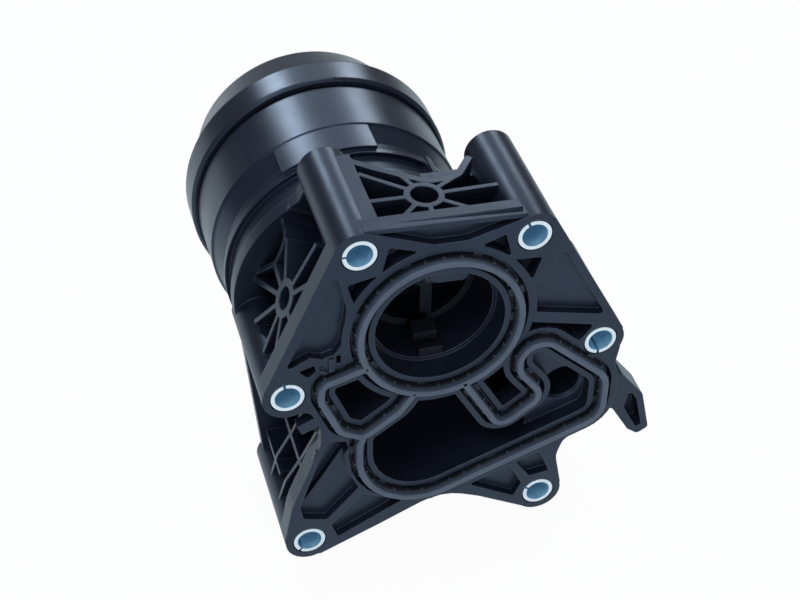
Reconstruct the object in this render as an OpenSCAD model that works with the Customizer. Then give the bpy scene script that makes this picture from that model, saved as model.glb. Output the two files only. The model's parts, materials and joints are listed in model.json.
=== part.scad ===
// Oil filter housing module: a moulded housing with a six-point engine flange, a loop gasket,
// a screw cap and a filter element. The flange face is the plane y = 0 and faces -Y, the filter
// axis runs along +Y, +Z is up. The origin is the centre of the main port on the flange face.

/* [Flange] */
// Thickness of the flange plate
flange_t = 7; // [6:0.5:10]
// Depth of the shallow panels in the flange
panel_depth = 3; // [1.5:0.5:4]
// Radius of the boss around each fixing point
boss_r = 8.3; // [8:0.1:9]
// Length of the boss tubes, from the flange face
tube_len = 46; // [44:1:52]

/* [Fixing sleeves] */
// Outer diameter of a compression sleeve
sleeve_od = 11; // [10:0.1:12]
// Bore of a compression sleeve
sleeve_id = 8.4; // [7:0.1:9]
// Width of the slit along a sleeve
sleeve_slit = 0.8; // [0.4:0.1:1.2]

/* [Ports and gasket] */
// Radius of the main port
port_r = 21.6; // [20:0.1:22]
// Wall between a port and its gasket channel
lip = 2; // [1.6:0.1:2.4]
// Width of the gasket channel
channel_w = 6; // [5:0.1:6.4]
// Depth of the gasket channel
channel_depth = 4.2; // [3:0.1:5]
// Width of the sealing bead
bead_w = 2.6; // [2:0.1:3]
// How far the bead stands above the flange face
bead_proud = 2.8; // [1:0.1:3]
// Spacing of the retaining nubs along a straight run of the gasket
nub_pitch = 11; // [8:1:16]
// Radius of the round port at the right
side_port_r = 6.4; // [5:0.1:7]
// Depth of the round port
side_port_depth = 36; // [20:1:40]
// Depth of the kidney port
kidney_depth = 40; // [30:1:42]
// Depth of the shelf around the round port
shelf_depth = 5; // [3:0.5:8]

/* [Filter barrel] */
// Distance of the filter axis from the main port, to the right
axis_x = -15; // [-16:0.5:-14]
// Height of the filter axis above the main port
axis_z = -12; // [-13:0.5:-11]
// Thickness of the base plate between the ports and the barrel
base_t = 5; // [4:0.5:7]
// Outer radius of the barrel at its base
barrel_r0 = 41; // [40:0.5:42]
// Outer radius of the barrel below the collar
barrel_r1 = 43; // [42:0.5:44]
// Inner radius of the barrel
barrel_in = 38; // [36:0.5:38.5]
// Length of the barrel from the base plate to the collar
barrel_len = 28; // [24:1:36]
// Wall of the collar around its thread
collar_wall = 4.5; // [3:0.5:6]
// Length of the collar
collar_len = 19; // [16:1:24]

/* [Screw cap] */
// Radius of the threaded bore of the collar
thread_r = 40.5; // [40:0.1:41]
// Running clearance between the cap skirt and the collar bore
thread_gap = 0.08; // [0.04:0.01:0.1]
// Length of the cap skirt inside the collar
skirt_len = 16; // [12:1:18]
// Radius of the grip ring of the cap
grip_r = 47; // [46:0.5:50]
// Length of the grip ring
grip_len = 14; // [10:1:18]
// Gap between collar and cap when it is tightened
parting_gap = 1; // [0.5:0.1:2]
// Wall of the cap
cap_wall = 3; // [2.5:0.1:4]
// Length of the dome behind the grip ring
dome_len = 20; // [14:1:26]
// Radius of the end of the dome
dome_r = 37.5; // [34:0.5:40]
// Width of the hexagon across its flats
hex_af = 36; // [30:1:46]
// Height of the hexagon
hex_h = 11; // [8:1:16]

/* [Filter element] */
// Outer radius of the pleated paper
pleat_r = 32; // [28:0.5:34]
// Number of pleats
pleats = 48; // [24:1:64]
// Radial depth of the pleats
pleat_depth = 11; // [8:0.5:12]
// Outer radius of the perforated core
core_r = 15; // [13.5:0.5:17]
// Length of the paper between its end caps
paper_len = 66; // [60:1:68]

/* [Bypass valve] */
// Radius of the opening that the bypass valve closes
bypass_r = 6.5; // [5:0.1:7]
// Travel of the bypass valve
bypass_travel = 4; // [2:0.5:5]
// Wire radius of the valve spring
wire_r = 0.6; // [0.4:0.05:0.8]
// Turns of the valve spring
spring_turns = 5; // [3:1:7]

/* [Hidden] */
$fn = 96;
// Greatest angle between two points of a curved outline
arc_step = 15;
eps = 0.02;

// Fixing points as [x, z], clockwise from the top left
top_left = [-26.5, 34];
top_right = [29.5, 30.5];
right = [56, -19];
bottom = [39, -86.5];
bottom_left = [-44, -88];
left = [-50, -19];
bosses = [top_left, top_right, right, bottom, bottom_left, left];
// Centre of the round port
side_port = [46, -40.2];

axis = [axis_x, axis_z];
bolt_clear = 0.5;

// Radii of the gasket channel around the main port
ring_r = port_r + lip + channel_w / 2;
land_r = ring_r + channel_w / 2 + lip;
side_off = channel_w / 2 + lip;
strip_r = land_r + 0.7;
port_wall = 3;

// Centre lines of the gasket channel as [x, z, corner radius]
loop_small = [[-24.4, -10.6, 0], [-39.3, -14.9, 3.5], [-39.6, -21.5, 6], [-33.4, -36.6, 6],
              [-25.5, -41, 3.5], [-13.5, -32.5, 8], [-8.5, -25.2, 0]];
loop_u = [[8.2, -24.6, 0], [21.7, -48.3, 4.5], [36.8, -37.3, 5], [27.4, -24.8, 8]];
loop_large = concat(loop_u, [[27.4, -4.6, 7], [58.9, -34.2, 10], [58.9, -52.6, 9],
              [-26.8, -84.3, 22.8], [-26.8, -44.5, 3], [-25.5, -41, 0]]);

// Stations along the filter axis
base_y = tube_len - base_t;
barrel_y = tube_len;
collar_y = barrel_y + barrel_len;
rim_y = collar_y + collar_len;
grip_y = rim_y + parting_gap;
skirt_y = grip_y - skirt_len;
skirt_r = thread_r - thread_gap;
collar_r = thread_r + collar_wall;
ring_at = barrel_y + 8.8;
bevel = 2.5;

// Filter element
cap_disc = 3;
seat_y = barrel_y + 4;
paper_y = seat_y + cap_disc;
top_y = paper_y + paper_len;
element_top = top_y + cap_disc;

// End of the cap: a neck makes room where the element is longer than the dome allows
end_gap = 3;
neck_len = max(0, element_top + end_gap + cap_wall - grip_y - grip_len - dome_len);
dome_y = grip_y + grip_len + neck_len;
end_y = dome_y + dome_len;

// Pipes that hold the element
spigot_r = core_r - 4.2;
spigot_wall = 2;
seal_t = 2;
drain_at = [axis.x - 13.5, axis.y - 11.5];
drain_r = 4;

// Cap O-ring
ring_wire = 1.6;
ring_y = grip_y - 4;
ring_mid = thread_r - 0.05 - ring_wire;

// Drain plug in the middle of the hexagon
plug_r = 6;
plug_gap = 0.06;
plug_len = hex_h + cap_wall;
plug_head_r = 9;
plug_head_t = 3;
plug_socket = 2;
socket_af = 8;
plug_ring_wire = 0.9;

// Bypass valve
bypass_at = [3, 1];
valve_disc_r = bypass_r + 2.2;
valve_t = 1.6;
stem_r = 1.6;
stem_gap = 0.08;
spring_r = 4.2;
step_y = 8.5;
inner_r = port_r - 1.4;
carrier_y = base_y - 16;
carrier_t = 3;
carrier_gap = 0.3;

plastic = [0.09, 0.1, 0.12];
rubber = [0.04, 0.04, 0.045];
zinc = [0.8, 0.82, 0.85];
steel = [0.62, 0.64, 0.66];
paper = [0.82, 0.74, 0.52];

// Outline helpers

function unit(v) = v / norm(v);
function left_of(v) = [-v.y, v.x];
function flat2(p) = [p.x, p.y];
function reversed(p) = [for (i = [len(p) - 1:-1:0]) p[i]];

// Points of the arc that rounds corner b between a and c
function corner(a, b, c, r) = r <= 0 ? [b] :
  let (u = unit(a - b), w = unit(c - b), half = acos(u * w) / 2,
       m = b + unit(u + w) * r / sin(half), s = b + u * r / tan(half), e = b + w * r / tan(half),
       a0 = atan2(s.y - m.y, s.x - m.x), a1 = atan2(e.y - m.y, e.x - m.x),
       d = (a1 - a0 + 540) % 360 - 180, n = max(1, ceil(abs(d) / arc_step)))
  [for (i = [0:n]) m + r * [cos(a0 + d * i / n), sin(a0 + d * i / n)]];

// Open line, and closed outline, with rounded corners
function open_path(p) = [for (i = [0:len(p) - 1])
  each i == 0 || i == len(p) - 1 ? [flat2(p[i])] :
    corner(flat2(p[i - 1]), flat2(p[i]), flat2(p[i + 1]), p[i].z)];
function closed_path(p) = let (n = len(p)) [for (i = [0:n - 1])
  each corner(flat2(p[(i + n - 1) % n]), flat2(p[i]), flat2(p[(i + 1) % n]), p[i].z)];

// Line parallel to p at distance o to its left, with concentric corners
function parallel(p, o) = [for (i = [0:len(p) - 1])
  let (u = unit(flat2(p[max(i, 1)]) - flat2(p[max(i, 1) - 1])),
       w = i == 0 || i == len(p) - 1 ? u : unit(flat2(p[i + 1]) - flat2(p[i])),
       q = flat2(p[i]) + o * (left_of(u) + left_of(w)) / (1 + u * w),
       turn = sign(u.x * w.y - u.y * w.x))
  [q.x, q.y, p[i].z <= 0 ? 0 : max(0.6, p[i].z - o * turn)]];

// Band of width w along the line p, moved sideways by o
function band(p, w, o = 0) = concat(open_path(parallel(p, o + w / 2)),
                                    reversed(open_path(parallel(p, o - w / 2))));

// Placing helpers

// Extrudes an outline drawn in x and z from depth y0 to y1
module slab(y0, y1) {
  translate([0, y1, 0]) rotate([90, 0, 0]) linear_extrude(y1 - y0) children();
}

// Round bar along Y, with radius r at y0 and r1 at y1
module rod(at, r, y0, y1, r1 = 0) {
  translate([at.x, y1, at.y]) rotate([90, 0, 0])
    cylinder(h = y1 - y0, r1 = r1 > 0 ? r1 : r, r2 = r);
}

// Turned shape about an axis along Y, from a profile of [radius, y]
module turned(at, profile) {
  translate([at.x, 0, at.y]) rotate([-90, 0, 0]) rotate_extrude() polygon(profile);
}

// Puts x along the line from boss a to boss b and z along the outward normal
module on_side(a, b) {
  translate([a.x, 0, a.y]) rotate([0, -atan2(b.y - a.y, b.x - a.x), 0]) children();
}

// Flat rib between two points of a plane
module rib(a, b, w = 1.6) {
  n = left_of(unit(b - a)) * w / 2;
  polygon([a + n, b + n, b - n, a - n]);
}

module web(points, w = 1.6) {
  polygon(band(points, w));
}

// Housing

outline = [[-34.1, 37.4, 0], [-23.6, 41.8, 0], [-2.9, 33.5, 3], [7.8, 33.1, 3], [26, 38, 0],
           [36.8, 34.4, 0], [63.6, -15, 0], [63.4, -24, 4], [62.4, -31, 5], [64.2, -37, 4],
           [64.2, -52, 12], [46.5, -63, 5], [44.4, -70, 8], [47.2, -84, 0], [36.4, -94.4, 0],
           [16.6, -82.8, 10], [3, -76.6, 18], [-19.6, -87, 10], [-40.4, -96, 0],
           [-52.6, -87, 0], [-49.8, -70.6, 20], [-44.7, -57.4, 20], [-39.4, -43, 8],
           [-39.6, -34, 4], [-43, -26.6, 4], [-50, -27.3, 0], [-57.6, -15.6, 0]];

// Shallow panels of the flange, open to the front
panels = [
  [[-35, 27, 1], [-33, 25.5, 1], [-30.6, 14, 0], [-32, 0, 0], [-34.6, -4, 0.6], [-38.4, -5.2, 0.6],
   [-42.4, -3.6, 1], [-50.8, -8, 1]],
  [[28, 9, 0], [33.5, 12, 1], [40, 23.4, 1], [56.6, -7.6, 1], [31, -0.9, 0], [28, 0, 0]],
  [[-36.4, -42.2, 0.6], [-31, -43.4, 0], [-31.6, -50, 0], [-30.6, -57, 3], [-26.6, -66.5, 1],
   [-37.8, -79.2, 1], [-45.8, -76.8, 1], [-47, -71, 2], [-38.9, -46.3, 1]],
  [[-25.4, -69.8, 1], [-11, -77, 0.6], [-33.8, -89, 0.6], [-36.2, -82.6, 1]],
  [[13, -76, 0.6], [27.4, -70.2, 1], [32.4, -80.6, 1], [29.8, -86.4, 0.6]],
  [[29.6, -69.4, 1], [38, -66.4, 1], [42.4, -77, 1], [35.2, -77.8, 1]]];

// Deep pockets between the ribs of the flange
pockets = [
  [[-17.4, 35.2, 1], [-8.6, 32, 0], [-14, 24, 0], [-19.4, 26, 1]],
  [[-30.5, 23.1, 1], [-21, 24.9, 1], [-20, 20, 0], [-28.2, 15, 0]],
  [[13, 30.3, 0.6], [20, 32.9, 0.6], [22.2, 24.4, 0], [14, 24, 0]],
  [[23.2, 22.2, 0], [32.7, 21.4, 0.8], [30.2, 13.4, 0.6], [24, 14, 0]],
  [[-46.4, -8.6, 0.6], [-41, -7.2, 0.6], [-40.6, -9.8, 0.4], [-43.2, -12, 0.6]],
  [[-34, -4.6, 0.4], [-32.5, -4.8, 0.4], [-32.5, -8, 0.4], [-34, -8, 0.4]],
  [[-36.4, -42.2, 0.6], [-31, -43.4, 0], [-30, -46.6, 0], [-39.8, -62.8, 0], [-45.4, -71.4, 0.6],
   [-46.4, -70.4, 0.6], [-38.9, -46.3, 1]]];

cavity = [[29, -4.8, 0], [53, -11.3, 1], [50.4, -15.2, 1], [47.2, -18.4, 1], [38, -20, 0], [29, -16, 0]];

module band_slab(p, w, y0, y1, o = 0) {
  slab(y0, y1) polygon(band(p, w, o));
}

module land(y0, y1) {
  rod([0, 0], land_r, y0, y1);
  band_slab(loop_small, 2 * side_off, y0, y1);
  band_slab(loop_large, 2 * side_off, y0, y1);
}

module flange() {
  slab(0, flange_t) polygon(closed_path(outline));
  land(0, flange_t);
  // Set-back panel above the concave top edge, closed by a ledge
  slab(panel_depth, flange_t) polygon([[-27, 42.4], [26, 40.2], [27, 30], [-27, 30]]);
  on_side(top_left, top_right) translate([1, 0.6, 7]) cube([52, panel_depth + 1, 1.6]);
}

module port_tubes() {
  rod([0, 0], port_r + port_wall, flange_t - eps, base_y + eps);
  rod(side_port, side_port_r + port_wall, flange_t - eps, base_y + eps);
  band_slab(loop_small, port_wall, flange_t - eps, base_y + eps, side_off - port_wall / 2);
  band_slab(loop_large, port_wall, flange_t - eps, base_y + eps, -(side_off - port_wall / 2));
}

module base_plate() {
  rod(axis, barrel_r1 + 0.3, base_y, tube_len);
  slab(base_y, tube_len) polygon(closed_path([
    [-31, 36, 4], [-22, 27, 4], [22, 25, 4], [34, 36, 4], [63, -16, 6], [62, -52, 10], [45, -66, 6],
    [44, -92, 6], [34, -92, 6], [3, -74, 14], [-38, -94, 6], [-50, -90, 6], [-57, -20, 6]]));
}

module boss_tubes() {
  for (b = bosses) rod(b, boss_r, 0, tube_len);
}

module barrel_shell() {
  rod(axis, barrel_r0, barrel_y - eps, collar_y, barrel_r1);
  turned(axis, [[0, collar_y - 12], [barrel_r0 + 1.2, collar_y - 12], [collar_r - 0.8, collar_y - 4.8],
                [collar_r, collar_y - 4], [collar_r, rim_y - 1], [collar_r - 1, rim_y], [0, rim_y]]);
  rod(axis, barrel_r1 + 0.4, ring_at, ring_at + 2.2);
  intersection() {
    rod(axis, collar_r - 0.4, ring_at + 2, collar_y - 2);
    slab(ring_at, collar_y) translate(axis)
      polygon([for (a = [77, 90, 105, 120]) 60 * [cos(a), sin(a)], [0, 0]]);
  }
  slab(barrel_y - eps, barrel_y + 12) translate(axis) rotate(51)
    rib([barrel_r0 - 3, 0], [barrel_r1 + 1.5, 0], 2.2);
}

// Ribs on the walls between the boss tubes: a hub with spokes inside a frame
top_len = norm(top_right - top_left);
hub_top = [24.5, 16.2];
hub_left = [26, 17];
hub_out = 6.4;
hub_in = 4.4;
wall_sink = 8;
left_len = norm(top_left - left);

module hub(at, spokes) {
  translate(at) circle(hub_out, $fn = 48);
  for (s = spokes) rib(at, s);
}

// Rear edge of the walls, as [along the side, depth, corner radius]
top_curve = [[4.6, 39, 0], [13.4, 32.2, 6], [28, 22.4, 8], [38, 24.4, 5], [44.6, 33.4, 0]];
left_curve = [[2, 46, 0], [14, 44, 8], [28, 32.6, 6], [37.5, 34, 4], [38.4, 44, 3], [44, base_y, 0]];

// Sunk wall of a side, from the flange to its rear edge
module sunk_wall(side, curve) {
  translate([0, 0, -wall_sink]) linear_extrude(2)
    polygon(concat([[0, base_y + eps], [0, 2], [side, 2], [side, base_y + eps]], reversed(open_path(curve))));
}

module top_side() {
  on_side(top_left, top_right) {
    sunk_wall(top_len, top_curve);
    translate([0, 0, 1 - wall_sink]) difference() {
      linear_extrude(wall_sink + 7) {
        hub(hub_top, [[7.2, 30.4], [6, 15.8], [12.6, 4], [24.4, 4], [49, 17.6], [41, 4], [19.8, 27.6],
                      [39, 25]]);
        web(top_curve, 2.4);
        rib([4.7, 2], [4.7, base_y], 4.8);
      }
      translate([hub_top.x, hub_top.y, -1]) cylinder(r = hub_in, h = wall_sink + 10);
    }
  }
}

module left_side() {
  on_side(left, top_left) {
    sunk_wall(left_len, left_curve);
    translate([0, 0, 1 - wall_sink]) difference() {
      linear_extrude(wall_sink + 6.6) {
        hub(hub_left, [[8, 4], [24, 4], [44, 4], [50, 14], [37.5, 33], [27, 33], [14, 42], [7, 28],
                       [6, 14]]);
        web(left_curve);
        rib([4, 3.6], [left_len - 4, 3.6], 1.8);
      }
      translate([hub_left.x, hub_left.y, -1]) cylinder(r = hub_in - 0.6, h = wall_sink + 10);
    }
  }
}

// Ribs behind the left edge of the lower arm, drawn as [y, z] and cut to that edge
low_ribs = [[[30, -86], [15, -26]], [[18, -86], [4, -38]], [[8.5, -86], [0.6, -46]],
            [[1, -59], [base_y + 1, -58]], [[20, -74], [base_y + 1, -73.4]]];

module low_left_side() {
  intersection() {
    translate([-56, 0, 0]) rotate([90, 0, 90]) linear_extrude(27) for (r = low_ribs) rib(r[0], r[1], 1.4);
    slab(0.6, base_y + eps) polygon([[-48.6, -22], [-46, -32], [-39.6, -41], [-43.9, -56.6], [-49, -71],
                                     [-51.4, -88], [-24, -80], [-24, -60], [-30, -46], [-32, -22]]);
  }
  slab(0, panel_depth + 1) rib([-46.4, -34.6], [-36.5, -30.4], 4);
}

// Walls and ribs of the sides that face away from the flange's long edge
module right_side() {
  side = norm(right - top_right);
  on_side(top_right, right) {
    translate([0, 2, -3]) cube([side, base_y - 2 + eps, 2.5]);
    translate([0, 0, -1]) linear_extrude(7) {
      for (k = [0:2]) {
        rib([7 + 14 * k, 5], [21 + 14 * k, base_y - 1]);
        rib([7 + 14 * k, base_y - 1], [21 + 14 * k, 5]);
      }
      rib([7, 5], [side - 7, 5]);
    }
  }
}

// Fins between the flange and the base plate, square to leg i of the large loop
module loop_fins(i, pitch) {
  ends = leg(loop_large, i);
  run = ends[1] - ends[0];
  n = max(1, round(norm(run) / pitch));
  for (k = [0.5:1:n - 0.5]) let (m = ends[0] + run * k / n, out = left_of(unit(run)))
    slab(flange_t - eps, base_y + eps) rib(m - 3 * out, m + 4 * out);
}

module low_side() {
  loop_fins(5, 9);
  loop_fins(6, 13);
  slab(flange_t - eps, base_y + eps) {
    rib(bottom_left, [-22, -80], 2.4);
    rib(bottom, [20, -74], 2.4);
    rib(bottom, [46, -64], 2.4);
  }
}

// Lug at the right with a slot for a harness clip
module harness_lug() {
  difference() {
    slab(2, 12) polygon(closed_path([[60, -38, 0], [67, -39, 2], [75.5, -50, 3], [79.5, -67, 1.6],
                                     [75.5, -69.2, 1.4],
                         [71.5, -66, 2], [64.5, -54, 2], [60, -54, 0]]));
    slab(0, 8) polygon(closed_path([[70, -46, 1.2], [73.5, -52, 1.6], [76.6, -65, 0.7], [74.6, -65.6, 0.7],
                                    [69, -55, 2]]));
  }
}

// Hook for a snap clip beside the left boss
module side_hook() {
  difference() {
    slab(-1, flange_t - 1) polygon([[-36.6, -5], [-34.8, -5], [-34.8, -12], [-34, -12.4], [-35.4, -14.8],
                                    [-39.6, -9.4], [-38.4, -9], [-36.6, -11]]);
    band_slab(loop_small, channel_w + 0.6, -2, flange_t);
  }
}

module housing_solid() {
  flange();
  port_tubes();
  base_plate();
  boss_tubes();
  barrel_shell();
  top_side();
  left_side();
  low_left_side();
  right_side();
  low_side();
  harness_lug();
}

module channel() {
  difference() {
    union() {
      rod([0, 0], ring_r + channel_w / 2, -1, channel_depth);
      band_slab(loop_small, channel_w, -1, channel_depth);
      band_slab(loop_large, channel_w, -1, channel_depth);
    }
    rod([0, 0], ring_r - channel_w / 2, -2, channel_depth + 1);
  }
}

// What is left of an area between the lands of the gasket channel
module inside_lands(y0, y1, points, o = 0) {
  difference() {
    slab(y0, y1) polygon(points);
    rod([0, 0], land_r + o, y0 - 1, y1 + 1);
    band_slab(loop_small, 2 * side_off + 2 * o, y0 - 1, y1 + 1);
    band_slab(loop_large, 2 * side_off + 2 * o, y0 - 1, y1 + 1);
  }
}

kidney_area = concat(open_path(parallel(loop_large, -side_off)), [[-8, -26]]);
small_area = open_path(parallel(loop_small, side_off));
u_area = open_path(parallel(concat(loop_u, [[27.4, -14, 0]]), side_off));
shelf_split = [[33.5, -60], [33.5, 0], [70, 0], [70, -60]];

module ports() {
  rod([0, 0], port_r, -1, step_y);
  rod([0, 0], inner_r, -1, base_y);
  inside_lands(-1, shelf_depth, kidney_area);
  difference() {
    inside_lands(-1, kidney_depth, kidney_area);
    slab(shelf_depth, kidney_depth + 1) polygon(shelf_split);
  }
  rod(side_port, side_port_r, shelf_depth - 0.5, side_port_depth);
  rod(side_port, side_port_r + 1, shelf_depth - eps, shelf_depth + 1, side_port_r);
  inside_lands(-1, 32, small_area);
  inside_lands(-1, 25, u_area);
  inside_lands(-1, 30, closed_path(cavity));
}

module barrel_bore() {
  turned(axis, [[0, barrel_y], [barrel_in, barrel_y], [barrel_in, collar_y - 3], [thread_r, collar_y],
                [thread_r, rim_y - 1], [thread_r + 1, rim_y], [thread_r + 1, rim_y + 1], [0, rim_y + 1]]);
}

// Passages through the base plate into the barrel
module passages() {
  rod(axis, spigot_r - spigot_wall, base_y - 1, barrel_y + 12);
  rod(bypass_at, bypass_r, base_y - 1, barrel_y + 1);
  rod(drain_at, drain_r, 30, barrel_y + 1);
  intersection() {
    difference() {
      inside_lands(base_y - 2, barrel_y + 1, kidney_area);
      slab(base_y - 3, barrel_y + 2) polygon(shelf_split);
    }
    difference() {
      rod(axis, barrel_in - 1, base_y - 3, barrel_y + 2);
      rod(axis, barrel_in - 8, base_y - 4, barrel_y + 3);
    }
  }
}

module housing() color(plastic) {
  difference() {
    housing_solid();
    channel();
    ports();
    barrel_bore();
    passages();
    for (b = bosses) {
      rod(b, sleeve_od / 2, -1, tube_len + 1);
      rod(b, sleeve_od / 2 + bolt_clear, -1, 1.2);
    }
    for (p = panels) difference() {
      slab(-1, panel_depth) polygon(closed_path(p));
      rod([0, 0], strip_r, -2, panel_depth + 1);
    }
    for (p = pockets) difference() {
      slab(-1, flange_t - 1.5) polygon(closed_path(p));
      rod([0, 0], strip_r, -2, flange_t);
    }
  }
  side_hook();
  difference() {
    rod(axis, spigot_r, barrel_y - eps, barrel_y + 11);
    rod(axis, spigot_r - spigot_wall, base_y, barrel_y + 12);
  }
  // Stop lug at the top of the main port
  intersection() {
    slab(step_y + 0.1, step_y + 2.3)
      polygon([[-1, 12], [1, 10.6], [10, 10], [11.6, 11.4], [9.6, 24], [-2.6, 24]]);
    rod([0, 0], inner_r + 1, 0, 20);
  }
}

// Fixing sleeves

module sleeve(at, slit_angle) color(zinc) {
  difference() {
    rod(at, sleeve_od / 2, 0, tube_len);
    rod(at, sleeve_id / 2, -1, tube_len + 1);
    translate([at.x, -1, at.y]) rotate([0, -slit_angle, 0])
      translate([0, 0, -sleeve_slit / 2]) cube([sleeve_od, tube_len + 2, sleeve_slit]);
  }
}

module sleeve_top_left() sleeve(top_left, 178);
module sleeve_top_right() sleeve(top_right, 115);
module sleeve_right() sleeve(right, -95);
module sleeve_bottom() sleeve(bottom, 150);
module sleeve_bottom_left() sleeve(bottom_left, -130);
module sleeve_left() sleeve(left, 100);

// Flange gasket: one bead that runs around all ports on a wider foot

foot_w = bead_w + 1.8;
foot_y = channel_depth - 2;
nub_l = 2;
nub_w = channel_w - 0.1;

module gasket_band(w, y0, y1) {
  difference() {
    rod([0, 0], ring_r + w / 2, y0, y1);
    rod([0, 0], ring_r - w / 2, y0 - 1, y1 + 1);
  }
  band_slab(loop_small, w, y0, y1);
  band_slab(loop_large, w, y0, y1);
}

// Straight part of leg i of the line p, between its rounded corners
function tangent(p, i) = i == 0 || i == len(p) - 1 || p[i].z <= 0 ? 0 :
  let (u = unit(flat2(p[i - 1]) - flat2(p[i])), w = unit(flat2(p[i + 1]) - flat2(p[i])))
  p[i].z / tan(acos(u * w) / 2);
function leg(p, i) = let (a = flat2(p[i]), b = flat2(p[i + 1]), u = unit(b - a))
  [a + u * tangent(p, i), b - u * tangent(p, i + 1)];

// Nubs that hold the gasket between the channel walls, along leg i of the line p
module nub_row(p, i) {
  ends = leg(p, i);
  run = ends[1] - ends[0];
  n = max(1, round(norm(run) / nub_pitch));
  for (k = [0.5:1:n - 0.5])
    slab(foot_y - 1, foot_y + 1) translate(ends[0] + run * k / n) rotate(atan2(run.y, run.x))
      square([nub_l, nub_w], center = true);
}

module nubs() {
  for (k = [0:11]) if (k != 6 && k != 8 && k != 10)
    slab(foot_y - 1, foot_y + 1) rotate(10 + 30 * k) translate([ring_r, 0])
      square([nub_w, nub_l], center = true);
  for (i = [2, 4]) nub_row(loop_small, i);
  for (i = [1, 4, 5, 6]) nub_row(loop_large, i);
}

module flange_gasket() color(rubber) {
  gasket_band(bead_w, -bead_proud, channel_depth);
  gasket_band(foot_w, foot_y, channel_depth);
  nubs();
}

// Bypass valve and its clip-in carrier

carrier_r = inner_r - 0.1;

module valve_carrier() color(plastic) {
  difference() {
    union() {
      difference() {
        rod([0, 0], carrier_r, carrier_y, carrier_y + carrier_t);
        rod([0, 0], carrier_r - 2.6, carrier_y - 1, carrier_y + carrier_t + 1);
      }
      intersection() {
        slab(carrier_y, carrier_y + carrier_t) {
          rib([-carrier_r, bypass_at.y], [carrier_r, bypass_at.y], 4);
          rib([bypass_at.x, -carrier_r], [bypass_at.x, carrier_r], 4);
        }
        rod([0, 0], carrier_r - 0.5, 0, base_y);
      }
      rod(bypass_at, spring_r + wire_r + 0.6, carrier_y, carrier_y + carrier_t);
      // Leg along the wall of the bore with the stepped snap hook
      intersection() {
        translate([-4, 0, 0]) rotate([90, 0, 90]) linear_extrude(8)
          polygon([[step_y + 0.1, -21], [step_y + 0.1, -16.6], [11, -16.6], [11, -18.2], [15.2, -18.2],
                   [15.2, -15.6], [20.4, -14.2], [20.4, -17.8], [carrier_y + 1, -17.8], [carrier_y + 1, -21]]);
        rod([0, 0], carrier_r, 0, base_y);
      }
    }
    rod(bypass_at, stem_r + stem_gap, carrier_y - 1, carrier_y + carrier_t + 1);
  }
}

module bypass_valve() color(steel) {
  rod(bypass_at, valve_disc_r, base_y - valve_t, base_y);
  rod(bypass_at, bypass_r - 0.6, base_y - eps, base_y + 2, bypass_r - 1.6);
  rod(bypass_at, stem_r, carrier_y - bypass_travel + 1, base_y - valve_t + eps);
}

// Helical wire around an axis along Y, as rings of points joined into a closed solid
module coil(at, r, wire, y0, y1, turns) {
  steps = round(turns * 24);
  ring_n = 8;
  points = [for (i = [0:steps], k = [0:ring_n - 1])
    let (a = 360 * turns * i / steps, rr = r + wire * cos(360 * k / ring_n),
         y = y0 + wire + (y1 - y0 - 2 * wire) * i / steps + wire * sin(360 * k / ring_n))
    [at.x + rr * cos(a), y, at.y + rr * sin(a)]];
  faces = concat([[for (k = [ring_n - 1:-1:0]) k]],
    [for (i = [0:steps - 1], k = [0:ring_n - 1]) let (j = (k + 1) % ring_n)
      [i * ring_n + k, i * ring_n + j, (i + 1) * ring_n + j, (i + 1) * ring_n + k]],
    [[for (k = [0:ring_n - 1]) steps * ring_n + k]]);
  polyhedron(points, faces);
}

module bypass_spring() color(steel) {
  coil(bypass_at, spring_r, wire_r, carrier_y + carrier_t, base_y - valve_t, spring_turns);
}

// Screw cap

skirt_in = ring_mid - ring_wire - 1.8;
groove_h = ring_wire + 0.3;
inner_end = end_y - cap_wall;
hub_clip_r = 18;

module filter_cap() color(plastic) {
  difference() {
    union() {
      turned(axis, [[skirt_in, skirt_y], [skirt_r - 1, skirt_y], [skirt_r, skirt_y + 1],
        [skirt_r, ring_y - groove_h], [ring_mid - ring_wire, ring_y - groove_h],
        [ring_mid - ring_wire, ring_y + groove_h], [skirt_r, ring_y + groove_h], [skirt_r, grip_y],
        [grip_r - 0.8, grip_y], [grip_r, grip_y + 0.8], [grip_r, dome_y - bevel], [grip_r - bevel, dome_y],
        [dome_r + 1.6, end_y - 3], [dome_r - 1.4, end_y], [0, end_y], [0, inner_end],
        [dome_r - cap_wall - 1, inner_end], [skirt_in, dome_y]]);
      translate([axis.x, end_y + hex_h, axis.y]) rotate([90, 0, 0])
        cylinder(r = hex_af / 2 / cos(30), h = hex_h + eps, $fn = 6);
      difference() {
        rod(axis, hub_clip_r, element_top, inner_end + eps);
        rod(axis, hub_clip_r - 2, element_top - 1, inner_end - eps);
      }
    }
    rod(axis, plug_r, inner_end - 1, end_y + hex_h + 1);
  }
}

module o_ring(at, mid, wire, y) {
  translate([at.x, y, at.y]) rotate([90, 0, 0]) rotate_extrude() translate([mid, 0]) circle(wire, $fn = 32);
}

module cap_o_ring() color(rubber) o_ring(axis, ring_mid, ring_wire, ring_y);

plug_ring_mid = plug_r - 0.05 - plug_ring_wire;
plug_y = end_y + hex_h;
plug_ring_y = plug_y - plug_socket - 2.4;

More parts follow.
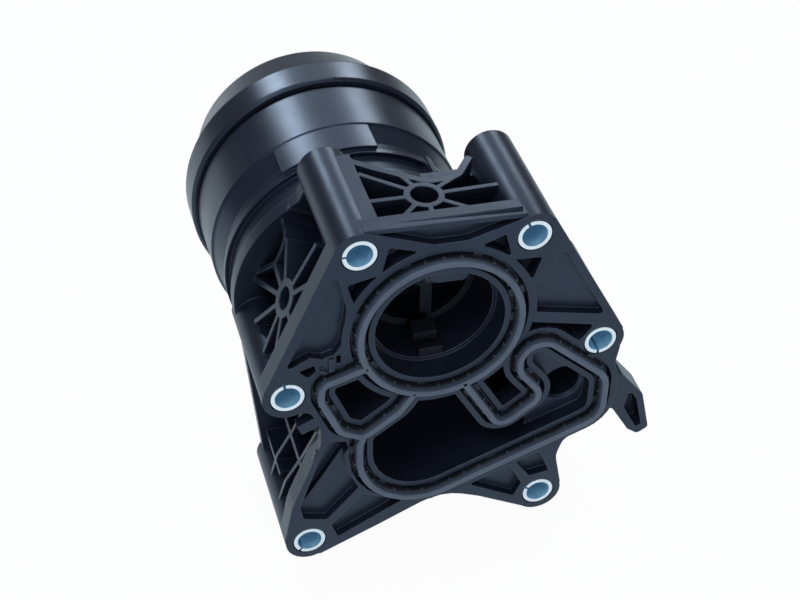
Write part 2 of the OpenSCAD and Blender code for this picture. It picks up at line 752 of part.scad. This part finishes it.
module drain_plug() color(plastic) {
  difference() {
    turned(axis, [[0, plug_y - plug_len], [plug_r - plug_gap - 0.8, plug_y - plug_len],
      [plug_r - plug_gap, plug_y - plug_len + 0.8], [plug_r - plug_gap, plug_ring_y - plug_ring_wire - 0.1],
      [plug_ring_mid - plug_ring_wire, plug_ring_y - plug_ring_wire - 0.1],
      [plug_ring_mid - plug_ring_wire, plug_ring_y + plug_ring_wire + 0.1],
      [plug_r - plug_gap, plug_ring_y + plug_ring_wire + 0.1], [plug_r - plug_gap, plug_y],
      [plug_head_r, plug_y], [plug_head_r, plug_y + plug_head_t - 0.6],
      [plug_head_r - 0.6, plug_y + plug_head_t], [0, plug_y + plug_head_t]]);
    translate([axis.x, plug_y + plug_head_t + 1, axis.y]) rotate([90, 0, 0])
      cylinder(r = socket_af / 2 / cos(30), h = plug_socket + plug_head_t + 1, $fn = 6);
  }
}

module drain_plug_o_ring() color(rubber) o_ring(axis, plug_ring_mid, plug_ring_wire, plug_ring_y);

// Filter element

fold = 4.5;

function star(r0, r1) = [for (i = [0:2 * pleats - 1]) let (a = 180 * i / pleats)
  (i % 2 == 0 ? r0 : r1) * [cos(a), sin(a)]];

module element_paper() color(paper) {
  translate([axis.x, 0, axis.y]) slab(paper_y, top_y) difference() {
    polygon(star(pleat_r, pleat_r - pleat_depth));
    polygon(star(pleat_r - fold, pleat_r - pleat_depth - fold));
  }
}

module element_core() color(plastic) {
  difference() {
    rod(axis, core_r, paper_y, top_y);
    rod(axis, core_r - 2, paper_y - 1, top_y + 1);
    for (row = [0:4], k = [0:2])
      translate([axis.x, paper_y + paper_len * (row + 0.5) / 5, axis.y]) rotate([0, 60 * k + 30 * (row % 2), 0])
        cylinder(r = 3, h = 2 * core_r + 4, center = true, $fn = 24);
  }
}

pin_r = drain_r - 0.8;
pin_ring_wire = 0.75;
pin_ring_mid = drain_r - 0.05 - pin_ring_wire;
pin_ring_y = base_y + base_t / 2;
seal_r = spigot_r + seal_t;

module element_inner_cap() color(plastic) {
  difference() {
    rod(axis, pleat_r + 1, seat_y, paper_y);
    rod(axis, seal_r, seat_y - 1, paper_y + 1);
  }
  // Pin that closes the drain passage while the element is in place
  turned(drain_at, [[0, base_y - 1], [pin_r - 1, base_y - 1], [pin_r, base_y],
    [pin_r, pin_ring_y - pin_ring_wire - 0.1], [pin_ring_mid - pin_ring_wire, pin_ring_y - pin_ring_wire - 0.1],
    [pin_ring_mid - pin_ring_wire, pin_ring_y + pin_ring_wire + 0.1], [pin_r, pin_ring_y + pin_ring_wire + 0.1],
    [pin_r, seat_y + eps], [0, seat_y + eps]]);
}

module drain_pin_o_ring() color(rubber) o_ring(drain_at, pin_ring_mid, pin_ring_wire, pin_ring_y);

module element_seal() color(rubber) {
  difference() {
    union() {
      rod(axis, seal_r, seat_y - 0.8, paper_y);
      rod(axis, seal_r + 1.6, seat_y - 0.8, seat_y);
    }
    rod(axis, spigot_r + 0.05, seat_y - 2, paper_y + 1);
  }
}

module element_outer_cap() color(plastic) {
  rod(axis, pleat_r + 1, top_y, element_top);
}

housing();
sleeve_top_left();
sleeve_top_right();
sleeve_right();
sleeve_bottom();
sleeve_bottom_left();
sleeve_left();
flange_gasket();
valve_carrier();
bypass_valve();
bypass_spring();
filter_cap();
cap_o_ring();
drain_plug();
drain_plug_o_ring();
element_paper();
element_core();
element_inner_cap();
element_outer_cap();
element_seal();
drain_pin_o_ring();
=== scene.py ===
"""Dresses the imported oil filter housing.

Adds materials, the gasket's rounded bead, the spring's round wire, camera, light and floor."""
import json
import math

import bmesh
import bpy
from mathutils import Matrix, Vector


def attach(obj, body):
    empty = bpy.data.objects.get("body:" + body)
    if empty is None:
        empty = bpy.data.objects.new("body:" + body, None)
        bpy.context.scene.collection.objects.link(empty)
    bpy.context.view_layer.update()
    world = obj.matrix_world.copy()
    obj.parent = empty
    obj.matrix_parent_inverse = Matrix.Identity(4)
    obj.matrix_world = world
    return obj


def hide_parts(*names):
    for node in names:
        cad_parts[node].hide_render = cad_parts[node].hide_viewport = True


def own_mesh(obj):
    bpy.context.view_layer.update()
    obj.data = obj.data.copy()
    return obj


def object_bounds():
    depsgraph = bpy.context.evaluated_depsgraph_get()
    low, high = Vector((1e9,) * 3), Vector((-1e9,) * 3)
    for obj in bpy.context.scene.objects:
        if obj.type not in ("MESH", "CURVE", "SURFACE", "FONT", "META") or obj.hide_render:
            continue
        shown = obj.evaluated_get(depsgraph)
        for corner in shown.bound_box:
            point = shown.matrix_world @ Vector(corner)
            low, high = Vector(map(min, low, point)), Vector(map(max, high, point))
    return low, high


MM = 0.001

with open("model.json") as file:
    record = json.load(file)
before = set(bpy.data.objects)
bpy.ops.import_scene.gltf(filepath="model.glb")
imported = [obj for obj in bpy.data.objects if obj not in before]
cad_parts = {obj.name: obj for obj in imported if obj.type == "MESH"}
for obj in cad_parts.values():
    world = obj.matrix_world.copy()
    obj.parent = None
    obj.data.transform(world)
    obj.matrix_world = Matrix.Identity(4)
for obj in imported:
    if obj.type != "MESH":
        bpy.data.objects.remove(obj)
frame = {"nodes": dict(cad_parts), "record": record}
CAD_BOX = [list(map(float, corner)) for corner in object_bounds()]

# Camera: from the upper left, looking down on the flange

VIEW_FROM = Vector((-131.1, -382.5, 355.9)) * MM
RIGHT = Vector((0.9601, -0.2789, 0.0180))
UP = Vector((0.1680, 0.6280, 0.7600))
FOCAL_PIXELS, PICTURE_WIDTH = 1705.3, 800
SENSOR = 36.0


def make_camera():
    data = bpy.data.cameras.new("camera")
    data.sensor_width = SENSOR
    data.lens = SENSOR * FOCAL_PIXELS / PICTURE_WIDTH
    data.clip_start = 0.01
    data.clip_end = 20
    camera = bpy.data.objects.new("camera", data)
    bpy.context.scene.collection.objects.link(camera)
    x = RIGHT.normalized()
    z = x.cross(UP).normalized()
    y = z.cross(x)
    camera.matrix_world = Matrix.Translation(VIEW_FROM) @ Matrix((x, y, z)).transposed().to_4x4()
    bpy.context.scene.camera = camera


# Shader parts: what they return is a (node, output) pair, and such a pair can be the input of the next

def plug(tree, socket, value):
    """Links a (node, output) pair to a socket, or sets a plain value on it."""
    if isinstance(value, tuple) and isinstance(value[-1], str):
        tree.links.new(value[0].outputs[value[1]], socket)
    else:
        socket.default_value = value


def join(tree, n, **inputs):
    """Fills a node's inputs by name, with underscores for spaces."""
    for name, value in inputs.items():
        plug(tree, n.inputs[name.replace("_", " ")], value)
    return n


def node(tree, kind, **inputs):
    return join(tree, tree.nodes.new(kind), **inputs)


def maths(tree, operation, *values, kind="ShaderNodeMath"):
    n = tree.nodes.new(kind)
    n.operation = operation
    for socket, value in zip(n.inputs, values):
        plug(tree, socket, value)
    return n, "Value"


def vector_maths(tree, operation, *vectors):
    return maths(tree, operation, *vectors, kind="ShaderNodeVectorMath")


def part_place(tree):
    """The place on the object, in metres from its origin."""
    return node(tree, "ShaderNodeTexCoord"), "Object"


def along_axis(tree, vector):
    """How far a vector reaches along the filter axis."""
    return node(tree, "ShaderNodeSeparateXYZ", Vector=vector), "Y"


def true_normal(tree):
    return node(tree, "ShaderNodeNewGeometry"), "True Normal"


def noise(tree, place, scale, detail, rough=0.55):
    n = node(tree, "ShaderNodeTexNoise", Vector=place, Scale=scale, Detail=detail, Roughness=rough)
    return n, "Fac"


def ramp(tree, source, first, last):
    """Colour that goes from the first to the last (value, colour) as the source grows."""
    n = node(tree, "ShaderNodeValToRGB", Fac=source)
    for element, (value, colour) in zip(n.color_ramp.elements, (first, last)):
        element.position = value
        element.color = (*colour, 1)
    return n, "Color"


def fade(tree, source, start, end, first, last):
    """Value that goes from first to last while the source goes from start to end."""
    limits = {"From_Min": start, "From_Max": end, "To_Min": first, "To_Max": last}
    return node(tree, "ShaderNodeMapRange", Value=source, **limits), "Result"


def uneven(tree, cloud, rough, less, more):
    """Roughness that varies with a noise from rough - less to rough + more."""
    return fade(tree, cloud, 0.3, 0.7, rough - less, rough + more)


def mixed(tree, share, under, over, blend="MIX"):
    """Share of one colour over another."""
    n = tree.nodes.new("ShaderNodeMix")
    n.data_type = "RGBA"
    n.blend_type = blend
    return join(tree, n, Factor=share, A=under, B=over), "Result"


def layered(tree, share, under, over):
    """Share of one shader over another."""
    n = tree.nodes.new("ShaderNodeMixShader")
    for socket, value in zip(n.inputs, (share, under, over)):
        plug(tree, socket, value)
    return n, "Shader"


def softened(tree, radius):
    """Normals that round every edge by a radius in mm."""
    n = node(tree, "ShaderNodeBevel", Radius=radius * MM)
    n.samples = 6
    return n, "Normal"


def relief(tree, source, strength, depth, **under):
    """Fine relief, depth in mm, on top of the normal given as Normal."""
    n = node(tree, "ShaderNodeBump", Height=source, Strength=strength, Distance=depth * MM, **under)
    return n, "Normal"


def new_material(name):
    m = bpy.data.materials.new(name)
    m.use_nodes = True
    return m, m.node_tree, m.node_tree.nodes["Principled BSDF"]


def scaled(colour, factor, lift=0):
    """A colour made lighter or darker, never past white."""
    return tuple(min(1, c * factor + lift) for c in colour)


# Materials

# Cosine between softened and true normal: the full painted edge highlight at the first, none on an untouched
# face at the second
EDGE_COSINE, FACE_COSINE = 0.80, 0.985
# Painted highlight on the softened edges: its share, and the gain and lift that make its colour from the
# pale tone
EDGE_HIGHLIGHT_SHARE, EDGE_HIGHLIGHT_GAIN, EDGE_HIGHLIGHT_LIFT = 0.75, 3.2, 0.03
# Where the housing turns from its rougher flange and ribs to the smooth barrel, in mm along the axis
ROUGH_END, SMOOTH_START = 47, 52
# Where the crown of the gasket's bead ends and painted shade on its sides starts, and where that shade is
# full, in mm along the axis
CROWN_END, FLANK_START = -1.4, -0.2
PLASTIC_TINT = (0.54, 0.71, 1, 1)
RUBBER_TINT = (0.62, 0.76, 1, 1)
SHEEN_TINT = (0.75, 0.8, 1, 1)
STEEL_EDGE = 0.15

PLASTICS = {
    "housing_plastic": {"dark": (0.008, 0.010, 0.019), "pale": (0.012, 0.015, 0.027), "rough": 0.36,
                        "grain": 0.1, "edge": 0.45, "barrel_rough": 0.31},
    "cap_plastic": {"dark": (0.009, 0.010, 0.017), "pale": (0.012, 0.014, 0.023), "rough": 0.29,
                    "grain": 0.03, "edge": 1.1, "turning_lines": 60},
    # The carrier's tone, darker than the housing's, is painted shade of the deep port it sits in
    "carrier_plastic": {"dark": (0.003, 0.003, 0.004), "pale": (0.004, 0.004, 0.005), "rough": 0.65,
                        "grain": 0.1, "edge": 0.3},
}
RUBBERS = {
    "gasket_rubber": {"tone": (0.056, 0.069, 0.098), "rough": 0.42, "sheen": 0.06, "painted_flank_shade": 0.12},
    "ring_rubber": {"tone": (0.012, 0.012, 0.013), "rough": 0.4, "sheen": 0.1},
}
# Painted light: ends and walls of one steel differ by facing; zinc walls are lightened for the deep bores,
# the spring's ends are darkened between its turns
STEELS = {
    "zinc_steel": {"ends": (0.82, 0.89, 0.94), "walls": (0.34, 0.61, 0.8), "rough": 0.42, "metal": 0.5},
    "spring_steel": {"ends": (0.07, 0.07, 0.075), "walls": (0.16, 0.165, 0.175), "rough": 0.4, "metal": 1},
}
PAPER_DARK, PAPER_PALE = (0.62, 0.5, 0.28), (0.82, 0.72, 0.47)


def moulded(name, dark, pale, rough, grain, edge, turning_lines=None, barrel_rough=None):
    """Moulded plastic: faint flow marks, fine grain, and softened edges that a painted highlight lightens.

    edge is the radius of those edges in mm. barrel_rough is the roughness of the housing's smooth barrel."""
    m, t, bsdf = new_material(name)
    place = part_place(t)
    tone = ramp(t, noise(t, place, scale=38, detail=5), (0.35, dark), (0.7, pale))
    soft = softened(t, edge)
    surface = relief(t, noise(t, place, scale=2600, detail=2), strength=grain, depth=0.12, Normal=soft)
    if turning_lines:
        wave = node(t, "ShaderNodeTexWave", Vector=place, Scale=turning_lines, Distortion=0.4, Detail=2)
        wave.bands_direction = "Y"
        surface = relief(t, (wave, "Fac"), strength=0.05, depth=0.05, Normal=surface)
    cosine = vector_maths(t, "DOT_PRODUCT", soft, true_normal(t))
    # Painted highlight: the softened edges are lightened towards a much paler copy of the tone
    painted_edge_highlight = fade(t, cosine, EDGE_COSINE, FACE_COSINE, EDGE_HIGHLIGHT_SHARE, 0)
    colour = mixed(t, painted_edge_highlight, tone, (*scaled(pale, EDGE_HIGHLIGHT_GAIN, EDGE_HIGHLIGHT_LIFT), 1))
    patches = noise(t, place, scale=120, detail=3)
    roughness = uneven(t, patches, rough, less=0.025, more=0.035)
    if barrel_rough:
        polish = fade(t, along_axis(t, place), ROUGH_END * MM, SMOOTH_START * MM, 1, barrel_rough / rough)
        roughness = maths(t, "MULTIPLY", roughness, polish)
    join(t, bsdf, Base_Color=colour, Roughness=roughness, Normal=surface)
    join(t, bsdf, IOR=1.5, Specular_Tint=PLASTIC_TINT)
    return m


def rubber(name, tone, rough, sheen, painted_flank_shade=None):
    """Moulded rubber. painted_flank_shade is the share of the tone that is left below the crown of the
    gasket's bead: painted shade down its sides into the channel.
    """
    m, t, bsdf = new_material(name)
    place = part_place(t)
    cloud = noise(t, place, scale=90, detail=4)
    colour = ramp(t, cloud, (0.3, tone), (0.75, scaled(tone, 1.5)))
    if painted_flank_shade:
        # Painted shade: the bead darkens from its crown down its sides into the channel
        shade = fade(t, along_axis(t, place), CROWN_END * MM, FLANK_START * MM, 1, painted_flank_shade)
        colour = mixed(t, 1, colour, shade, "MULTIPLY")
    roughness = uneven(t, cloud, rough, less=0.05, more=0.08)
    surface = relief(t, noise(t, place, scale=1700, detail=3), strength=0.12, depth=0.1)
    join(t, bsdf, Base_Color=colour, Roughness=roughness, Normal=surface, Specular_Tint=RUBBER_TINT)
    join(t, bsdf, Sheen_Weight=sheen, Sheen_Roughness=0.5, Sheen_Tint=SHEEN_TINT)
    return m


def plated(name, ends, walls, rough, metal):
    """Steel with one colour on its ends, the faces along the filter axis, and another on its walls, which is
    painted light: pale zinc ends around blue zinc walls lightened as painted light in the deep sleeve bores,
    and on the spring darker ends as painted shade between its turns.
    """
    m, t, bsdf = new_material(name)
    place = part_place(t)
    facing = maths(t, "ABSOLUTE", along_axis(t, true_normal(t)))
    cloud = noise(t, place, scale=420, detail=5, rough=0.7)
    wall_colour = ramp(t, cloud, (0.35, walls), (0.7, scaled(walls, 1.35)))
    end_colour = ramp(t, cloud, (0.3, scaled(ends, 0.9)), (0.7, ends))
    # Painted light: the colour is chosen by which way the surface faces
    colour = mixed(t, fade(t, facing, 0.4, 0.7, 0, 1), wall_colour, end_colour)
    roughness = uneven(t, cloud, rough, less=0.06, more=0.1)
    fine = noise(t, place, scale=1500, detail=3)
    surface = relief(t, fine, strength=0.15, depth=0.06, Normal=softened(t, STEEL_EDGE))
    join(t, bsdf, Base_Color=colour, Roughness=roughness, Normal=surface, Metallic=metal)
    return m


def filter_paper(name):
    m, t, bsdf = new_material(name)
    fibre = noise(t, part_place(t), scale=700, detail=6, rough=0.7)
    colour = ramp(t, fibre, (0.3, PAPER_DARK), (0.7, PAPER_PALE))
    join(t, bsdf, Base_Color=colour, Roughness=0.9, Normal=relief(t, fibre, strength=0.5, depth=0.15))
    return m


def make_materials():
    made = {"filter_paper": filter_paper("filter_paper")}
    for make, looks in ((moulded, PLASTICS), (rubber, RUBBERS), (plated, STEELS)):
        for name, look in looks.items():
            made[name] = make(name, **look)
    return made


# Meshes

def finish_mesh(name, bm, material, smooth=40):
    """Turns a bmesh into an object, smooth up to an angle in degrees."""
    bmesh.ops.recalc_face_normals(bm, faces=bm.faces)
    mesh = bpy.data.meshes.new(name)
    bm.to_mesh(mesh)
    bm.free()
    mesh.materials.append(material)
    for polygon in mesh.polygons:
        polygon.use_smooth = True
    mesh.set_sharp_from_angle(angle=math.radians(smooth))
    o = bpy.data.objects.new(name, mesh)
    bpy.context.scene.collection.objects.link(o)
    return o


def skin(bm, rings, closed=False):
    """Quads between neighbouring rings of vertices, and a face over each end of an open run."""
    for i in range(len(rings) if closed else len(rings) - 1):
        a, b = rings[i], rings[(i + 1) % len(rings)]
        for k in range(len(a)):
            j = (k + 1) % len(a)
            bm.faces.new((a[k], a[j], b[j], b[k]))
    if not closed:
        bm.faces.new(rings[0])
        bm.faces.new(list(reversed(rings[-1])))


def arc(x, y, r, start, end, n):
    """Points on an arc in n steps, with angles in degrees."""
    angles = [math.radians(start + (end - start) * k / n) for k in range(n + 1)]
    return [(x + r * math.cos(a), y + r * math.sin(a)) for a in angles]


# Gasket

# Centre lines of the channel as in the part's source: x, z, corner radius, in mm
RING, RING_STEPS = 26.6, 120
SMALL = [(-24.4, -10.6, 0), (-39.3, -14.9, 3.5), (-39.6, -21.5, 6), (-33.4, -36.6, 6),
         (-25.5, -41, 3.5), (-13.5, -32.5, 8), (-8.5, -25.2, 0)]
LARGE = [(8.2, -24.6, 0), (21.7, -48.3, 4.5), (36.8, -37.3, 5), (27.4, -24.8, 8), (27.4, -4.6, 7),
         (58.9, -34.2, 10), (58.9, -52.6, 9), (-26.8, -84.3, 22.8), (-26.8, -44.5, 3), (-25.5, -41, 0)]
# Section: half widths, and heights towards the engine from the flange face, in mm
FOOT_HALF, FOOT_LOW, FOOT_TOP, FOOT_ROUND = 2.2, -4.2, -2.3, 0.25
NECK = [(1.5, -2.3), (1.3, -2.0), (1.3, 0.4), (1.16, 1.9)]
CROWN_SIDE, CROWN_HEIGHT, CROWN_R = 0.52, 2.14, 0.64
# Pads on the bead's flanks, in mm: every fourth pair props it against the channel walls, and all root in it
PROP = {"reach": 2.75, "long": 3.4, "low": -3.9, "high": -0.9, "r": 0.3}
NUB = {"reach": 1.85, "long": 0.9, "low": -3.0, "high": 0.7, "r": 0.2}
PROP_EVERY = 4
PAD_ROOT = 0.9
RING_PITCH, SMALL_PITCH, LARGE_PITCH = 5.6, 5.2, 5.4


def rounded(points, step=6):
    """The line through points with arcs at its corners, every step degrees."""
    out = []
    for i, (x, z, r) in enumerate(points):
        corner = Vector((x, z))
        if r <= 0:
            out.append(corner)
            continue
        back = (Vector(points[i - 1][:2]) - corner).normalized()
        ahead = (Vector(points[i + 1][:2]) - corner).normalized()
        half = math.acos(max(-1, min(1, back.dot(ahead)))) / 2
        middle = corner + (back + ahead).normalized() * r / math.sin(half)
        first = corner + back * r / math.tan(half) - middle
        last = corner + ahead * r / math.tan(half) - middle
        start = math.atan2(first.y, first.x)
        turn = (math.atan2(last.y, last.x) - start + 3 * math.pi) % (2 * math.pi) - math.pi
        n = max(2, math.ceil(abs(turn) / math.radians(step)))
        out += [Vector(p) for p in arc(*middle, r, math.degrees(start), math.degrees(start + turn), n)]
    return out


def profile():
    """Bead that narrows towards its round crown, on a wider foot: (side, height) points in mm."""
    half = [(FOOT_HALF, FOOT_LOW)]
    half += arc(FOOT_HALF - FOOT_ROUND, FOOT_TOP - FOOT_ROUND, FOOT_ROUND, start=0, end=90, n=3)
    half += NECK
    half += arc(CROWN_SIDE, CROWN_HEIGHT, CROWN_R, start=-6, end=90, n=6)
    return half + [(-x, y) for x, y in reversed(half)]


def sideways(line, closed, tightest=0.6):
    """Each point of a line with its sideways direction, longer at corners so that the width stays."""
    n = len(line)
    out = []
    for i, p in enumerate(line):
        a = line[i - 1] if closed or i else line[i]
        b = line[(i + 1) % n] if closed or i < n - 1 else line[i]
        along = (b - a).normalized()
        before = (p - a).normalized() if p != a else along
        out.append((p, Vector((-along.y, along.x)) / max(tightest, abs(before.dot(along)))))
    return out


def sweep(bm, line, section, closed):
    """Sweeps a section along a line of (x, z) points in the flange plane."""
    rings = []
    for p, side in sideways(line, closed):
        points = [(p + side * s, h) for s, h in section]
        rings.append([bm.verts.new(Vector((q.x, -h, q.y)) * MM) for q, h in points])
    skin(bm, rings, closed)


def spaced(line, pitch, closed):
    """Points at an even pitch along a line, each with its direction."""
    points = line + [line[0]] if closed else line
    total = sum((b - a).length for a, b in zip(points, points[1:]))
    count = max(1, round(total / pitch))
    want = [total * (k + 0.5) / count for k in range(count)]
    gone = 0
    out = []
    for a, b in zip(points, points[1:]):
        length = (b - a).length
        while want and want[0] <= gone + length:
            out.append((a.lerp(b, (want.pop(0) - gone) / length), (b - a).normalized()))
        gone += length
    return out


def pad(bm, place, along, side, reach, long, low, high, r):
    """A small upright pad on one flank of the bead, rounded at its top and ends."""
    across = Vector((-along.y, along.x)) * side
    rings = []
    midway = 0.3 * r
    for h, shrink in ((low, 0), (high - r, 0), (high - midway, midway), (high, r)):
        half = long / 2 - shrink
        face = reach - shrink
        outline = [(-half, PAD_ROOT), (-half, face - r), (-half + r, face),
                   (half - r, face), (half, face - r), (half, PAD_ROOT)]
        points = [place + along * u + across * v for u, v in outline]
        rings.append([bm.verts.new(Vector((p.x, -h, p.y)) * MM) for p in points])
    skin(bm, rings)


def make_gasket(material):
    """The loop gasket: bead, foot, and the pads that hold it upright between the channel walls."""
    bm = bmesh.new()
    section = profile()
    ring = [Vector(p) for p in arc(0, 0, RING, start=0, end=360, n=RING_STEPS)[:-1]]
    runs = ((ring, True, RING_PITCH),
            (rounded(SMALL), False, SMALL_PITCH),
            (rounded(LARGE), False, LARGE_PITCH))
    for line, closed, pitch in runs:
        sweep(bm, line, section, closed)
        for k, (place, along) in enumerate(spaced(line, pitch, closed)):
            for side in (1, -1):
                pad(bm, place, along, side, **(PROP if k % PROP_EVERY == 1 else NUB))
    o = finish_mesh("gasket_bead", bm, material)
    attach(o, "root")
    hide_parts("flange_gasket")


# Spring

# Bypass spring as in the part's source, in mm: centre, coil radius, wire radius, both ends along Y, turns
SPRING_AT, SPRING_R, SPRING_WIRE = (3, 1), 4.2, 0.6
SPRING_FIXED, SPRING_END, SPRING_TURNS = 28, 39.4, 5


def make_spring(material, per_turn=40, sides=14):
    """Round-wire spring, wound from its fixed end towards the valve."""
    bm = bmesh.new()
    steps = SPRING_TURNS * per_turn
    run = SPRING_END - SPRING_FIXED - 2 * SPRING_WIRE
    wire = arc(SPRING_R, SPRING_FIXED + SPRING_WIRE, SPRING_WIRE, start=0, end=360, n=sides)[:-1]
    rings = []
    for i in range(steps + 1):
        turn = 2 * math.pi * i / per_turn
        rise = run * i / steps
        points = [(SPRING_AT[0] + r * math.cos(turn), y + rise, SPRING_AT[1] + r * math.sin(turn))
                  for r, y in wire]
        rings.append([bm.verts.new(Vector(p) * MM) for p in points])
    skin(bm, rings)
    o = finish_mesh("spring_coil", bm, material, smooth=50)
    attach(o, "root")
    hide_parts("bypass_spring")
    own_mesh(o)


# Light and floor, in metres and watts

AIM = Vector((0, 0.04, -0.03))
PLAIN, COOL = (1, 1, 1), (0.82, 0.92, 1)
# Name, place, width and height, power, colour
LIGHTS = [
    ("front", (0, -1.1, 0.25), (0.9, 0.5), 5.3, PLAIN),
    ("key", (-0.35, -0.3, 0.8), (0.35, 0.35), 2.8, COOL),
    ("strip_left", (-0.2, 0.84, 0.53), (0.16, 0.3), 2.3, COOL),
    ("back", (0.1, 0.89, 0.59), (0.9, 0.32), 1.4, COOL),
    ("strip_right", (0.42, 0.84, 0.42), (0.14, 0.3), 1.2, COOL),
    ("top", (0.1, 0.19, 0.97), (0.4, 0.12), 3.5, COOL),
]
WHITE = (1, 1, 1, 1)
AMBIENT_COLOUR, AMBIENT = (0.92, 0.95, 1, 1), 0.16
FLOOR_HALF, FLOOR_DROP = 3, 0.0005
FLOOR_COLOUR, FLOOR_ROUGH = (0.9, 0.9, 0.9, 1), 0.9
# The floor's own white where it is seen, and the cooler one that reflections on the part show of it,
# in full out to the first distance and no more from the second
SEEN_SHARE = 0.96
MIRRORED_COLOUR = (0.8, 0.92, 1, 1)
MIRRORED_FULL, MIRRORED_END = 0.5, 1.2


def area(name, place, size, power, colour):
    data = bpy.data.lights.new(name, "AREA")
    data.shape = "RECTANGLE"
    data.size, data.size_y = size
    data.energy = power
    data.color = colour
    o = bpy.data.objects.new(name, data)
    bpy.context.scene.collection.objects.link(o)
    o.location = place
    o.rotation_euler = (AIM - Vector(place)).to_track_quat("-Z", "Y").to_euler()


def make_world():
    """A dim cool surround for the part, and white for the eye."""
    world = bpy.data.worlds.new("studio")
    bpy.context.scene.world = world
    world.use_nodes = True
    t = world.node_tree
    surround = join(t, t.nodes["Background"], Color=AMBIENT_COLOUR, Strength=AMBIENT)
    white = node(t, "ShaderNodeBackground", Color=WHITE, Strength=1)
    seen = (t.nodes.new("ShaderNodeLightPath"), "Is Camera Ray")
    both = layered(t, seen, (surround, "Background"), (white, "Background"))
    join(t, t.nodes["World Output"], Surface=both)


def make_floor(height):
    """A white floor with the part's shadow, which the part reflects as far as MIRRORED_END."""
    bm = bmesh.new()
    bmesh.ops.create_grid(bm, x_segments=1, y_segments=1, size=FLOOR_HALF)
    for v in bm.verts:
        v.co.z = height
    m, t, bsdf = new_material("floor")
    join(t, bsdf, Base_Color=FLOOR_COLOUR, Roughness=FLOOR_ROUGH)
    path = t.nodes.new("ShaderNodeLightPath")
    seen, glossy = (path, "Is Camera Ray"), (path, "Is Glossy Ray")
    glow = node(t, "ShaderNodeEmission", Color=mixed(t, seen, MIRRORED_COLOUR, WHITE), Strength=1)
    near = fade(t, vector_maths(t, "LENGTH", part_place(t)), MIRRORED_FULL, MIRRORED_END, 1, 0)
    mirrored = maths(t, "MULTIPLY", glossy, near)
    share = maths(t, "MAXIMUM", maths(t, "MULTIPLY", seen, SEEN_SHARE), mirrored)
    both = layered(t, share, (bsdf, "BSDF"), (glow, "Emission"))
    join(t, t.nodes["Material Output"], Surface=both)
    o = finish_mesh("floor", bm, m)


# Build

def dress(name, material):
    o = frame["nodes"][name]
    if not o.data.materials:
        o.data.materials.append(material)
    for slot in o.material_slots:
        slot.material = material


materials = make_materials()
for part in frame["record"]["subparts"]:
    dress(part["node"], materials[part["material_slot"]])
make_gasket(materials["gasket_rubber"])
make_spring(materials["spring_steel"])
make_camera()
make_world()
make_floor(CAD_BOX[0][2] - FLOOR_DROP)
for light in LIGHTS:
    area(*light)

bpy.context.scene.view_settings.view_transform = "Standard"
